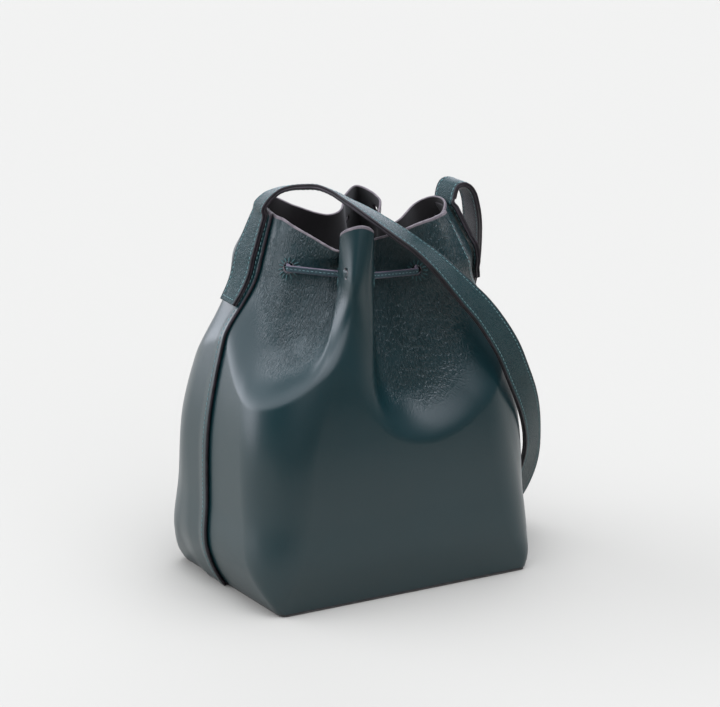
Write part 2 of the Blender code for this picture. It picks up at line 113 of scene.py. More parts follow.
FOLDS = (
    (0.0, 165, 0.0), (0.03, 150, 0.1), (0.06, 139, 0.22), (0.09, 133, 0.3), (0.12, 132, 0.3),
    (0.165, 138, 0.22), (0.215, 152, 0.06), (0.25, 158, 0.0), (0.285, 126, 0.2), (0.32, 106, 0.36),
    (0.35, 100, 0.42), (0.39, 106, 0.38), (0.42, 120, 0.26), (0.46, 142, 0.1), (0.5, 160, 0.0),
    (0.56, 160, 0.0), (0.58, 140, 0.12), (0.625, 112, 0.3), (0.665, 104, 0.36), (0.71, 120, 0.2),
    (0.75, 150, 0.0), (0.79, 125, 0.2), (0.835, 108, 0.36), (0.88, 116, 0.28), (0.93, 138, 0.12),
    (0.97, 155, 0.0), (1.0, 165, 0.0),
)
SHELF_RISE = 34.0
FOLD_LEAN = ((0.0, 0.0), (0.12, 0.5), (0.25, 1.0), (0.5, 0.68), (0.75, 1.0), (0.88, 0.5), (1.0, 0.0))
LEAN_SHARE = 0.066
SEAM_SHARE = 0.008

LEFT_TAB, RIGHT_TAB = (-0.016, -0.016, 0.735), (0.546, 0.56, 0.785)
TAB_TOP, TAB_STEPS, TAB_EASE = 0.985, 8, 0.5
STRAP_STACK = 2 * STRAP_PLY + GAP
BACKING_SHARE = 0.013

EYELETS = (0.080, 0.2065, 0.2935, 0.420, 0.632, 0.895)
LACE_WAYS = ((-0.14, -1.0), (0.86, -0.5), (0.86, -0.5), (0.62, 0.78), (0.22, 0.98), (-0.66, -0.75))

STRAP_ROUTE = (
    ((-59.5, 14.5, 245), (0.24, 0.97, 0.0)),
    ((-55, 12.5, 250.5), (0.32, 0.94, -0.08)),
    ((-49, 10, 254), (0.4, 0.9, -0.2)),
    ((-43, 6, 256), (0.45, 0.86, -0.27)),
    ((-36.5, 1, 257), (0.48, 0.83, -0.3)),
    ((-29, -5, 257), (0.5, 0.82, -0.3)),
    ((-22, -13, 254), (0.6, 0.75, -0.3)),
    ((-18, -21, 251), (0.7, 0.65, -0.3)),
    ((-14, -30, 248), (0.78, 0.57, -0.25)),
    ((-7, -42, 242), (0.78, 0.62, -0.1)),
    ((1, -52, 235), (0.75, 0.65, 0.0)),
    ((11.5, -59, 226), (0.66, 0.73, 0.14)),
    ((23, -64, 214.5), (0.6, 0.7, 0.38)),
    ((35, -67, 201), (0.64, 0.55, 0.53)),
    ((44, -68, 191), (0.68, 0.42, 0.6)),
    ((53, -68.5, 181), (0.72, 0.3, 0.62)),
    ((62.5, -69, 168), (0.78, 0.18, 0.6)),
    ((73, -68, 151.5), (0.84, 0.1, 0.54)),
    ((82, -65, 134), (0.88, 0.12, 0.46)),
    ((92.5, -59, 114.5), (0.88, 0.25, 0.35)),
    ((102.5, -49, 94.5), (0.86, 0.42, 0.2)),
    ((110.5, -37, 74), (0.85, 0.5, 0.05)),
    ((117, -22, 54), (0.9, 0.4, 0.0)),
    ((121, -6, 35), (0.95, 0.2, 0.1)),
    ((123, 12, 17), (0.97, 0.0, 0.1)),
    ((123, 28, 6), (0.97, -0.15, 0.05)),
    ((121.5, 44, 2.6), (0.97, -0.25, 0.0)),
    ((119.5, 58, 6), (0.95, -0.3, 0.0)),
    ((117, 70, 18), (0.93, -0.37, 0.0)),
    ((114.5, 76, 38), (0.9, -0.43, 0.0)),
    ((112, 75, 63), (0.85, -0.52, 0.0)),
    ((110, 69, 93), (0.75, -0.66, 0.0)),
    ((107.5, 58, 123), (0.6, -0.79, -0.1)),
    ((104, 43, 151), (0.4, -0.9, -0.15)),
    ((100, 27, 176), (0.2, -0.95, -0.2)),
    ((96, 16, 191), (0.1, -0.97, -0.2)),
    ((92, 8, 203), (0.05, -0.98, -0.15)),
    ((87.5, 0, 214.5), (0.0, -0.99, -0.1)),
    ((83.5, -6, 224), (0.0, -1.0, -0.05)),
    ((80, -10, 233), (0.0, -1.0, 0.0)),
    ((77.5, -10.5, 240.5), (0.03, -1.0, 0.0)),
    ((73.5, -10.5, 246), (0.08, -1.0, 0.0)),
    ((68, -10.5, 248.5), (0.12, -0.99, 0.0)),
    ((63, -10.5, 246.5), (0.16, -0.98, 0.0)),
)

# Thread: a stitch's length and thickness, and the distance between stitches.
STITCH_LENGTH, STITCH_THICK, STITCH_PITCH = 2.3, 0.5, 3.1
STITCH_INSET = 2.2        # a row of stitches from the edge it follows
LACE_STITCH_LENGTH, LACE_STITCH_PITCH = 1.8, 2.6

UP = np.array((0.0, 0.0, 1.0))


# ---------------------------------------------------------------- camera, floor and light
FLOOR_SIZE = 14.0                                               # metres
FLAG_PLACE, FLAG_SIZE = (0.45, -1.33, 0.001), (3.6, 1.8, 1.0)   # metres
AMBIENT, STUDIO_TINT = 0.17, (0.94, 0.97, 1.06, 1.0)
# Softboxes: direction, cosines where each starts and is full, brightness added. The last
# one is dark: the unlit side of the studio behind the camera.
SOFTBOXES = (
    ((0.15, -0.1, 1.0), 0.74, 0.96, 4.0),
    ((-0.15, -0.68, 0.72), 0.76, 0.96, 2.0),
    ((-0.6, 0.0, 0.8), 0.82, 0.96, 1.5),
    ((-0.7, 0.7, 0.1), 0.72, 0.95, 4.6),
    ((0.55, 0.83, 0.1), 0.78, 0.96, 3.4),
    ((-0.5, -0.865, 0.0), 0.5, 0.9, -0.14),
)


def add_camera():
    azimuth, elevation, distance = radians(-30.15), radians(17.58), 3.2
    target = Vector((4.14, 0.0, 141.35)) * MM
    way = Vector((sin(azimuth) * cos(elevation), -cos(azimuth) * cos(elevation), sin(elevation)))
    data = bpy.data.cameras.new("camera")
    data.lens = 251.04
    data.sensor_width = 36.0
    data.clip_end = 30.0
    camera = bpy.data.objects.new("camera", data)
    camera.location = target + way * distance
    camera.rotation_euler = way.to_track_quat("Z", "Y").to_euler()
    bpy.context.scene.collection.objects.link(camera)
    bpy.context.scene.camera = camera


def add_floor(material):
    bpy.ops.mesh.primitive_plane_add(size=FLOOR_SIZE)
    floor = bpy.context.object
    floor.name = "floor"
    floor.data.materials.append(material)


def add_flag(material):
    """Black card lying in front of the bag, out of the picture: only reflections show it."""
    bpy.ops.mesh.primitive_plane_add(size=1.0, location=FLAG_PLACE)
    flag = bpy.context.object
    flag.name = "flag"
    flag.scale = FLAG_SIZE
    flag.visible_camera = flag.visible_diffuse = flag.visible_shadow = False
    flag.data.materials.append(material)


def add_world():
    """Dim, even studio light with softboxes overhead, in front and behind on both sides."""
    world = bpy.data.worlds.new("studio")
    bpy.context.scene.world = world
    world.use_nodes = True
    graph = Graph(world.node_tree)
    background = world.node_tree.nodes["Background"]
    ray = graph.add("ShaderNodeTexCoord").outputs["Generated"]
    level = graph.value(AMBIENT)
    for direction, start, full, brightness in SOFTBOXES:
        way = Vector(direction).normalized()
        facing = graph.add("ShaderNodeVectorMath", {0: ray, 1: way},
                           operation="DOT_PRODUCT").outputs["Value"]
        share = graph.smooth(facing, start, full)
        level = graph.maths("MULTIPLY_ADD", share, brightness, level)
    graph.link(level, background.inputs["Strength"])
    background.inputs["Color"].default_value = STUDIO_TINT


# ---------------------------------------------------------------- materials
class Graph:
    """A few short forms for building node trees."""

    def __init__(self, tree):
        self.tree = tree

    def link(self, source, target):
        self.tree.links.new(source, target)

    def add(self, kind, inputs=None, **properties):
        node = self.tree.nodes.new(kind)
        for key, value in properties.items():
            setattr(node, key, value)
        for key, value in (inputs or {}).items():
            if isinstance(value, bpy.types.NodeSocket):
                self.link(value, node.inputs[key])
            else:
                node.inputs[key].default_value = value
        return node

    def value(self, number):
        node = self.add("ShaderNodeValue")
        node.outputs[0].default_value = number
        return node.outputs[0]

    def maths(self, operation, *values):
        return self.add("ShaderNodeMath", dict(enumerate(values)), operation=operation).outputs[0]

    def smooth(self, value, low, high, to_low=0.0, to_high=1.0):
        node = self.add("ShaderNodeMapRange", {0: value, 1: low, 2: high, 3: to_low, 4: to_high},
                        interpolation_type="SMOOTHSTEP")
        return node.outputs[0]

    def mix(self, share, first, second):
        node = self.add("ShaderNodeMix", data_type="RGBA")
        for socket, value in zip((0, 6, 7), (share, first, second)):
            if isinstance(value, bpy.types.NodeSocket):
                self.link(value, node.inputs[socket])
            elif socket:
                node.inputs[socket].default_value = (*value, 1.0)
            else:
                node.inputs[socket].default_value = value
        return node.outputs[2]

    def noise(self, place, size_mm, detail=2.0, distortion=0.0):
        node = self.add("ShaderNodeTexNoise", {
            "Vector": place, "Scale": 1 / (size_mm * MM), "Detail": detail, "Distortion": distortion})
        return node.outputs["Fac"]

    def cells(self, place, size_mm, feature="F1"):
        node = self.add("ShaderNodeTexVoronoi", {"Vector": place, "Scale": 1 / (size_mm * MM)},
                        feature=feature)
        return node.outputs["Distance"]

    def bump(self, height, depth_mm, below=None):
        inputs = {"Height": height, "Distance": depth_mm * MM}
        if below is not None:
            inputs["Normal"] = below
        return self.add("ShaderNodeBump", inputs).outputs[0]


def new_material(name):
    """A material, its graph, its shader and the place on the object that its patterns follow."""
    material = bpy.data.materials.new(name)
    material.use_nodes = True
    graph = Graph(material.node_tree)
    place = graph.add("ShaderNodeTexCoord").outputs["Object"]
    return material, graph, material.node_tree.nodes["Principled BSDF"], place


def finish_material(graph, shader, colour, roughness, normal, specular=0.5):
    graph.link(colour, shader.inputs["Base Color"])
    graph.link(roughness, shader.inputs["Roughness"])
    graph.link(normal, shader.inputs["Normal"])
    shader.inputs["Specular IOR Level"].default_value = specular


def body_leather():
    """Smooth calf with a satin finish; it crinkles finely where the wall is gathered."""
    material, graph, shader, place = new_material("smooth_teal_leather")
    gather = graph.add("ShaderNodeAttribute", attribute_name="gather").outputs["Fac"]
    lie = graph.add("ShaderNodeAttribute", attribute_name="lie").outputs["Vector"]
    mottle = graph.noise(place, 60.0, 3.0)
    colour = graph.mix(mottle, (0.0008, 0.0165, 0.0195), (0.0015, 0.0210, 0.0255))

    pores = graph.noise(place, 0.45, 3.0)
    grain = graph.cells(place, 0.9, "SMOOTH_F1")
    wander = graph.add("ShaderNodeTexNoise", {"Vector": lie, "Scale": 180.0, "Detail": 2.0})
    bent = graph.add("ShaderNodeMixRGB", {0: 0.0022, 1: lie, 2: wander.outputs["Color"]},
                     blend_type="ADD")
    stretched = graph.add("ShaderNodeVectorMath", {0: bent.outputs[0], 1: (1.0, 0.38, 1.0)},
                          operation="MULTIPLY").outputs[0]
    crease = graph.smooth(graph.cells(stretched, 1.9, "DISTANCE_TO_EDGE"), 0.0, 0.22)
    fine = graph.smooth(graph.cells(stretched, 0.9, "DISTANCE_TO_EDGE"), 0.0, 0.3)
    patches = graph.smooth(graph.noise(place, 14.0, 2.0), 0.22, 0.6)
    crinkle = graph.maths("MULTIPLY", gather, graph.maths("MULTIPLY_ADD", patches, 0.75, 0.25))
    relief = graph.maths("MULTIPLY", graph.maths("MULTIPLY_ADD", fine, 0.45, crease), crinkle)

    base = graph.bump(pores, 0.02)
    skin = graph.bump(grain, 0.03, base)
    normal = graph.bump(relief, 0.46, skin)
    roughness = graph.maths("MULTIPLY_ADD", graph.noise(place, 22.0, 2.0), 0.08, 0.29)
    finish_material(graph, shader, colour, roughness, normal, 0.6)
    shader.inputs["Coat Weight"].default_value = 0.12
    shader.inputs["Coat Roughness"].default_value = 0.22
    return material


def grained_leather(name, low, high, roughness, depth):
    """Pebble-grained leather of the strap."""
    material, graph, shader, place = new_material(name)
    pebbles = graph.cells(place, 1.15, "DISTANCE_TO_EDGE")
    tops = graph.smooth(pebbles, 0.0, 0.34)
    fine = graph.noise(place, 0.35, 2.0)
    colour = graph.mix(graph.maths("MULTIPLY_ADD", graph.noise(place, 9.0, 3.0), 0.6, graph.maths(
        "MULTIPLY", tops, 0.4)), low, high)
    normal = graph.bump(fine, 0.03, graph.bump(tops, depth))
    rough = graph.maths("MULTIPLY_ADD", tops, -0.12, roughness)
    finish_material(graph, shader, colour, rough, normal, 0.32)
    return material


def painted_edge(name, colour_low, colour_high, roughness):
    """Edge paint: slightly lumpy, worn a little where it is rubbed."""
    material, graph, shader, place = new_material(name)
    colour = graph.mix(graph.smooth(graph.noise(place, 5.0, 3.0), 0.35, 0.75), colour_low, colour_high)
    normal = graph.bump(graph.noise(place, 1.6, 2.0), 0.10)
    rough = graph.maths("MULTIPLY_ADD", graph.noise(place, 3.0), 0.15, roughness)
    finish_material(graph, shader, colour, rough, normal, 0.4)
    return material


def flesh_side(name, low, high):
    """Unlined back of the leather: short nap, no gloss."""
    material, graph, shader, place = new_material(name)
    nap = graph.noise(place, 0.7, 4.0)
    colour = graph.mix(graph.noise(place, 12.0, 4.0), low, high)
    normal = graph.bump(nap, 0.12)
    finish_material(graph, shader, colour, graph.maths("MULTIPLY_ADD", nap, 0.1, 0.82), normal, 0.2)
    shader.inputs["Sheen Weight"].default_value = 0.15
    shader.inputs["Sheen Roughness"].default_value = 0.6
    return material


def thread_material(name, low, high):
    """Waxed thread: a fine diagonal twist."""
    material, graph, shader, place = new_material(name)
    twist = graph.add("ShaderNodeTexWave", {"Vector": place, "Scale": 1400.0, "Distortion": 1.0,
                                            "Detail": 1.0}, bands_direction="DIAGONAL").outputs["Fac"]
    colour = graph.mix(twist, low, high)
    finish_material(graph, shader, colour, graph.maths("MULTIPLY_ADD", twist, -0.1, 0.6),
                    graph.bump(twist, 0.05), 0.4)
    return material


def board_material():
    material, graph, shader, place = new_material("pressed_fibreboard")
    fibres = graph.noise(place, 1.2, 5.0, 0.6)
    finish_material(graph, shader, graph.mix(fibres, (0.16, 0.13, 0.10), (0.26, 0.22, 0.17)),
                    graph.maths("MULTIPLY_ADD", fibres, 0.1, 0.85), graph.bump(fibres, 0.08), 0.2)
    return material


def floor_material():
    material, graph, shader, place = new_material("pale_floor")
    speckle = graph.noise(place, 3.0, 2.0)
    finish_material(graph, shader, graph.mix(speckle, (0.415, 0.403, 0.368), (0.419, 0.407, 0.372)),
                    graph.maths("MULTIPLY_ADD", speckle, 0.02, 0.8), graph.bump(speckle, 0.002), 0.0)
    return material


def card_material():
    material, graph, shader, place = new_material("black_card")
    nap = graph.noise(place, 2.0, 2.0)
    finish_material(graph, shader, graph.mix(nap, (0.010, 0.010, 0.010), (0.014, 0.014, 0.014)),
                    graph.maths("MULTIPLY_ADD", nap, 0.05, 0.9), graph.bump(nap, 0.01), 0.1)
    return material


# ---------------------------------------------------------------- curves and tables
def cubic(start, end, leaving, arriving, u):
    """Value at u (0 to 1) of the curve with these ends and these slopes at them."""
    return (start * (2 * u**3 - 3 * u**2 + 1) + leaving * (u**3 - 2 * u**2 + u)
            + end * (3 * u**2 - 2 * u**3) + arriving * (u**3 - u**2))


def read_table(table, x):
    """Smooth reading of a table of (x, value, ...) rows at every x."""
    rows = np.array(table, float)
    keys, values = rows[:, 0], rows[:, 1:]
    slopes = np.gradient(values, keys, axis=0)
    x = np.clip(x, keys[0], keys[-1])
    i = np.clip(np.searchsorted(keys, x, side="right") - 1, 0, len(keys) - 2)
    span = (keys[i + 1] - keys[i])[..., None]
    u = ((x - keys[i]) / (keys[i + 1] - keys[i]))[..., None]
    read = cubic(values[i], values[i + 1], slopes[i] * span, slopes[i + 1] * span, u)
    return np.moveaxis(read, -1, 0)


def ease(low, high, x):
    share = np.clip((x - low) / (high - low), 0.0, 1.0)
    return share * share * (3 - 2 * share)


def hermite(p0, p1, p2, p3, t0, t1, t2, t3, t):
    """Point at t between p1 and p2, on the smooth curve through four points at t0 to t3."""
    span = t2 - t1
    leaving = (p2 - p0) * (span / (t2 - t0))
    arriving = (p3 - p1) * (span / (t3 - t1))
    return cubic(p1, p2, leaving, arriving, (t - t1) / span)


MOUTH_KEYS = np.array([row[0] for row in MOUTH])
LACE_LEVEL = np.array([row[1] for row in MOUTH], float)
RIM_LEVEL = np.array([row[2] for row in MOUTH], float)


def closed_curve(points, share):
    share = np.asarray(share, float) % 1.0
    count = len(MOUTH_KEYS)
    start = np.searchsorted(MOUTH_KEYS, share, side="right") - 1
    near = [start + step for step in (-1, 0, 1, 2)]
    keys = [(MOUTH_KEYS[i % count] + i // count)[..., None] for i in near]
    return hermite(*[points[i % count] for i in near], *keys, share[..., None])


def open_curve(points, steps):
    """Points of a smooth curve through all the given ones, steps to each stretch."""
    points = np.array(points, float)
    ends = np.vstack([points[0] * 2 - points[1], points, points[-1] * 2 - points[-2]])
    curve = [hermite(*ends[i - 1:i + 3], -1, 0, 1, 2, step / steps)
             for i in range(1, len(ends) - 2) for step in range(steps)]
    return np.array(curve + [points[-1]])


def unit(vectors):
    return vectors / np.maximum(np.linalg.norm(vectors, axis=-1, keepdims=True), 1e-9)


# ---------------------------------------------------------------- the wall
SHARE_STEP, LEVEL_STEP = 0.004, 0.01      # how far apart the wall is read for a slope


def rounded_outline(half_w, half_d, radius, share):
    """Points on rounded rectangles, from (-half_w, 0) towards the front, by arc length."""
    straight_w, straight_d = half_w - radius, half_d - radius
    runs = (straight_d, 2 * straight_w, 2 * straight_d, 2 * straight_w, straight_d)
    corner = radius * pi / 2
    left = (share % 1.0) * (sum(runs) + 4 * corner)
    x, y = np.zeros_like(left), np.zeros_like(left)
    done = np.zeros(left.shape, bool)
    start_x, start_y = -half_w, np.zeros_like(left)
    centres = ((-1, -1, 180), (1, -1, 270), (1, 1, 0), (-1, 1, 90))
    headings = ((0, -1), (1, 0), (0, 1), (-1, 0), (0, -1))
    for i, run in enumerate(runs):
        here = ~done & ((left <= run) | (i == 4))
        x[here] = (start_x + headings[i][0] * left)[here]
        y[here] = (start_y + headings[i][1] * left)[here]
        done |= here
        left = left - run
        if i == 4:
            break
        side_x, side_y, first = centres[i]
        middle_x, middle_y = side_x * straight_w, side_y * straight_d
        here = ~done & (left <= corner)
        angle = radians(first) + left / radius
        x[here] = (middle_x + radius * np.cos(angle))[here]
        y[here] = (middle_y + radius * np.sin(angle))[here]
        done |= here
        left = left - corner
        turned = radians(first + 90)
        start_x, start_y = middle_x + radius * cos(turned), middle_y + radius * sin(turned)
    return x, y


def unfolded(share, level):
    """The wall before it is gathered, and how far it has gone from there to the lace (0 to 1)."""
    height = WALL_FOOT + (GATHER_Z - WALL_FOOT) * level / GATHER_T
    half_w, half_d, radius, centre_x = read_table(HULL, height)
    around = share % 1.0
    lean = LEAN_SHARE * read_table(FOLD_LEAN, around)[0] * ease(5, 110, height)
    x, y = rounded_outline(half_w, half_d, radius, share - lean - SEAM_SHARE)
    start, shelf = read_table(FOLDS, around)
    shelf = np.clip(shelf, 0.0, 1.0)
    rise = np.clip((height - start) / (GATHER_Z - start), 0.0, 1.0)
    gentle = 0.6 * rise * rise * (3 - 2 * rise) + 0.4 * rise**1.5
    steady = gentle + (rise**1.25 - gentle) * np.minimum(3 * shelf, 1.0)
    weight = shelf * ease(start, start + SHELF_RISE, height) + (1 - shelf) * steady
    return x + centre_x, y, height, weight


def wall(share, level):
    """Outer face of the wall: share round the bag, level 0 at the foot and 1 at the rim."""
    share, level = np.broadcast_arrays(np.asarray(share, float), np.asarray(level, float))
    at_lace = closed_curve(LACE_LEVEL, share)
    at_rim = closed_curve(RIM_LEVEL, share)
    x, y, height, weight = unfolded(share, level)
    tilt = 1 + (at_lace[..., 2] / GATHER_Z - 1) * ease(100, GATHER_Z, height)
    below = np.stack([x * (1 - weight) + at_lace[..., 0] * weight,
                      y * (1 - weight) + at_lace[..., 1] * weight, height * tilt], axis=-1)
    rest = np.clip((level - GATHER_T) / (1 - GATHER_T), 0.0, 1.0)[..., None]
    above = at_lace * (1 - rest) + at_rim * rest
    return np.where((level > GATHER_T)[..., None], above, below)


def sunk(share, level):
    """How far, in millimetres, the gathers have drawn each point of the wall inward."""
    share, level = np.broadcast_arrays(share, level)
    at_lace = closed_curve(LACE_LEVEL, share)
    x, y, _, weight = unfolded(share, np.minimum(level, GATHER_T))
    return weight * np.hypot(at_lace[..., 0] - x, at_lace[..., 1] - y)


def wall_frame(share, level):
    """Point on the wall with its unit tangent round the bag and its outward normal."""
    around = wall(share + SHARE_STEP, level) - wall(share - SHARE_STEP, level)
    up = (wall(share, np.minimum(level + LEVEL_STEP, 1.0))
          - wall(share, np.maximum(level - LEVEL_STEP, 0.0)))
    return wall(share, level), unit(around), unit(np.cross(around, up))


# ---------------------------------------------------------------- mesh helpers
def make_object(name, verts_mm, faces, materials, slots=None, smooth=True):
    mesh = bpy.data.meshes.new(name)
    mesh.from_pydata((np.asarray(verts_mm) * MM).tolist(), [], faces)
    for material in materials:
        mesh.materials.append(material)
    if slots is not None:
        mesh.polygons.foreach_set("material_index", slots)
    if smooth:
        mesh.shade_smooth()
    mesh.update()
    item = bpy.data.objects.new(name, mesh)
    bpy.context.scene.collection.objects.link(item)
    return item


def settle(item, body, slot, *nodes):
    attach(item, body)
    if nodes:
        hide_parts(*nodes)
    return item


def grid_normals(points):
    across = np.gradient(points, axis=1)
    up = np.gradient(points, axis=0)
    return unit(np.cross(across, up))


def shell(name, outer, thickness, materials, keep=None, edge_rows=0, rounds=4):
    """Sheet of leather on a grid of outer points, closed by a rounded edge all round.

    materials are those of the outer face, the inner face and the edge at the sides, the top
    and the bottom. keep marks the grid's faces that stay; edge_rows of faces below the top are
    painted like the top edge.
    """
    materials = list(materials) + [materials[-1]] * (5 - len(materials))
    rows, columns = outer.shape[:2]
    normals = grid_normals(outer)
    thickness = np.broadcast_to(np.asarray(thickness, float), (rows, columns))
    inner = outer - normals * thickness[..., None]
    keep = np.ones((rows - 1, columns - 1), bool) if keep is None else keep
    count = rows * columns
    verts = [outer.reshape(-1, 3), inner.reshape(-1, 3)]
    faces, slots = [], []
    for i in range(rows - 1):
        for j in range(columns - 1):
            if not keep[i, j]:
                continue
            a, b = i * columns + j, i * columns + j + 1
            c, d = b + columns, a + columns
            faces += [(a, b, c, d), (count + a, count + d, count + c, count + b)]
            slots += [3 if i >= rows - 1 - edge_rows else 0, 1]
    borders = []
    padded = np.pad(keep, 1)
    for i, j in zip(*np.nonzero(keep)):
        a, b = i * columns + j, i * columns + j + 1
        c, d = b + columns, a + columns
        for edge, (row, column) in (((a, b), (i, j + 1)), ((b, c), (i + 1, j + 2)),
                                    ((c, d), (i + 2, j + 1)), ((d, a), (i + 1, j))):
            if not padded[row, column]:
                borders.append(edge)
    flat, flat_normals = verts[0], normals.reshape(-1, 3)
    outward = np.zeros_like(flat)
    for a, b in borders:
        way = unit(np.cross(unit(flat[b] - flat[a]), flat_normals[a]))
        outward[a] += way
        outward[b] += way
    rim = sorted({vert for edge in borders for vert in edge})
    where = {vert: i for i, vert in enumerate(rim)}
    half = thickness.reshape(-1)[rim][:, None] / 2
    middle = flat[rim] - flat_normals[rim] * half
    outward = unit(outward[rim])
    total = 2 * count
    for step in range(1, rounds):
        angle = pi * step / rounds
        verts.append(middle + flat_normals[rim] * half * cos(angle) + outward * half * sin(angle) * 0.8)
    ring = [lambda v: v] + [(lambda v, base=total + (step - 1) * len(rim): base + where[v])
                            for step in range(1, rounds)] + [lambda v: count + v]
    for a, b in borders:
        slot = 3 if min(a, b) >= count - columns else 4 if max(a, b) < columns else 2
        for low, high in zip(ring, ring[1:]):
            faces.append((low(b), low(a), high(a), high(b)))
            slots.append(slot)
    return make_object(name, np.vstack(verts), faces, materials, slots)


def remove_loose(item):
    shape = bmesh.new()
    shape.from_mesh(item.data)
    loose = [vert for vert in shape.verts if not vert.link_faces]
    bmesh.ops.delete(shape, geom=loose, context="VERTS")
    shape.to_mesh(item.data)
    shape.free()


def path_frames(centres, widths):
    """Unit width and face directions at every point of a band's centre line."""
    ahead = unit(np.gradient(centres, axis=0))
    across = unit(widths - ahead * np.sum(widths * ahead, axis=1, keepdims=True))
    return across, np.cross(ahead, across)


def sweep(name, centres, across, face, profile, materials, slots, scale=None):
    """Closed profile of (across, out) points carried along a path, with flat ends."""
    sides = len(profile)
    scale = np.ones(len(centres)) if scale is None else scale
    rings = [centres + across * (a * scale)[:, None] + face * f for a, f in profile]
    verts = np.stack(rings, axis=1).reshape(-1, 3)
    faces, marks = [], []
    for i in range(len(centres) - 1):
        for j in range(sides):
            k = (j + 1) % sides
            faces.append((i * sides + j, i * sides + k, (i + 1) * sides + k, (i + 1) * sides + j))
            marks.append(slots[j])
    faces.append(tuple(range(sides))[::-1])
    faces.append(tuple((len(centres) - 1) * sides + j for j in range(sides)))
    marks += [max(slots)] * 2
    return make_object(name, verts, faces, materials, marks)


def stitches(name, centres, along, out, length, thickness, material, rise=0.1):
    """One mesh of small threads: an ellipsoid at each centre, long the way it runs."""
    around, rings = 8, 6
    template = [(0.0, 0.0, -1.0)]
    for ring in range(1, rings):
        angle = pi * ring / rings - pi / 2
        turns = [2 * pi * k / around for k in range(around)]
        template += [(cos(angle) * cos(turn), cos(angle) * sin(turn), sin(angle)) for turn in turns]
    template = np.array(template + [(0.0, 0.0, 1.0)])
    last = len(template) - 1
    pattern = [(0, 1 + (k + 1) % around, 1 + k) for k in range(around)]
    for ring in range(rings - 2):
        low, high = 1 + ring * around, 1 + (ring + 1) * around
        pattern += [(low + k, low + (k + 1) % around, high + (k + 1) % around, high + k)
                    for k in range(around)]
    pattern += [(last - around + k, last - around + (k + 1) % around, last) for k in range(around)]
    out = unit(out - along * np.sum(out * along, axis=1, keepdims=True))
    side = np.cross(along, out)
    size = thickness / 2
    verts = (centres[:, None] + out[:, None] * rise
             + side[:, None] * (template[None, :, 0:1] * size * 1.15)
             + out[:, None] * (template[None, :, 1:2] * size)
             + along[:, None] * (template[None, :, 2:3] * length / 2))
    verts = verts.reshape(-1, 3)
    faces = [tuple(i * len(template) + v for v in face) for i in range(len(centres)) for face in pattern]
    return make_object(name, verts, faces, [material])


def every(points, pitch, *followers, margin=2.0):
    """Places at an even pitch along a line, with its direction and what follows it there."""
    steps = np.linalg.norm(np.diff(points, axis=0), axis=1)
    run = np.concatenate([[0.0], np.cumsum(steps)])
    count = max(int((run[-1] - 2 * margin) / pitch), 1)
    start = (run[-1] - (count - 1) * pitch) / 2
    at = start + np.arange(count) * pitch

    def read(values):
        return np.stack([np.interp(at, run, values[:, k]) for k in range(3)], axis=1)

    ways = unit(read(np.gradient(points, axis=0)))
    return (read(points), ways, *[read(values) for values in followers])


def slant(along, out, degrees):
    """Directions turned a little about out, as hand-guided stitches lie."""
    side = np.cross(out, along)
    return unit(along * cos(radians(degrees)) + side * sin(radians(degrees)))


# ---------------------------------------------------------------- body panels
PANEL_ROWS, COLUMN_SHARE = 170, 1 / 480
HIDE_GIRTH = 560.0        # width of the hide round the bag, which the grain is laid out on
GATHER_START, GATHER_FULL = 6.0, 28.0     # drawn in this far, the leather starts to crease


def turned_edge(inward):
    """Extra thickness of a lapped edge, from its rim inward by share."""
    return EDGE_EXTRA * (1 - ease(0.004, 0.014, inward))


def row_levels():
    """Levels of the grid's rows, with two close ones at the rim for the pale edge band, which is partly
    a painted highlight.
    """
    return np.append(np.linspace(0.0, 0.994, PANEL_ROWS), 1.0)


def lap(share, lapped_end):
    """How far a panel stands proud of the wall near the end that lies over the other panel."""
    inward = np.abs(share - lapped_end)
    return LAP_LIFT * (1 - ease(LAP_SHARE, 2 * LAP_SHARE, inward)) + turned_edge(inward)


def soften_rows(points, level):
    """Smooth the wall up and down where the lace bends it, so that no hard kink shows."""
    strength = np.exp(-((level - GATHER_T) / 0.03) ** 2)[:, None, None]
    for _ in range(14):
        middle = (points[:-2] + points[2:]) / 2
        points[1:-1] += (middle - points[1:-1]) * 0.5 * strength[1:-1]
    return points


def draw_aside(points, normals, share):
    """Open a round hole in the grid: which faces go, with the vertices round it on a circle."""
    spot, _, normal = wall_frame(np.array(share), np.array(GATHER_T))
    rows, columns = points.shape[:2]
    offset = points - spot
    offset = offset - normals * np.sum(offset * normals, axis=-1, keepdims=True)
    far = np.linalg.norm(offset, axis=-1)
    same_side = np.sum(normals * normal, axis=-1) > 0.3
    inside = (far < EYELET_RADIUS) & same_side
    keep = ~(inside[:-1, :-1] & inside[1:, :-1] & inside[:-1, 1:] & inside[1:, 1:])
    near = np.pad(~keep, 1)
    touched = near[:-1, :-1] | near[1:, :-1] | near[:-1, 1:] | near[1:, 1:]
    ways = offset / np.maximum(far, 1e-6)[..., None]
    moved = points.copy()
    border = touched & (far < EYELET_RADIUS * 1.2) & same_side
    moved[border] = (points + ways * (EYELET_RADIUS - far)[..., None])[border]
    return moved, keep


def build_panel(name, first, last, lapped_end, materials, node):
    shares = np.arange(round(first / COLUMN_SHARE), round(last / COLUMN_SHARE) + 1) * COLUMN_SHARE
    level = row_levels()
    points = wall(shares[None, :], level[:, None])
    points = soften_rows(points, level)
    lift = lap(shares, lapped_end)
    normals = grid_normals(points)
    points = points + normals * lift[None, :, None]
    keep = np.ones((len(level) - 1, len(shares) - 1), bool)
    for share in EYELETS:
        if first < share < last:
            points, kept = draw_aside(points, normals, share)
            keep &= kept
    thickness = LEATHER + turned_edge(np.abs(shares - lapped_end))[None, :]
    panel = shell(name, points, thickness, materials, keep, edge_rows=1)
    add_lie(panel, shares, level, points)
    remove_loose(panel)
    return settle(panel, BAG, "body_leather", node)


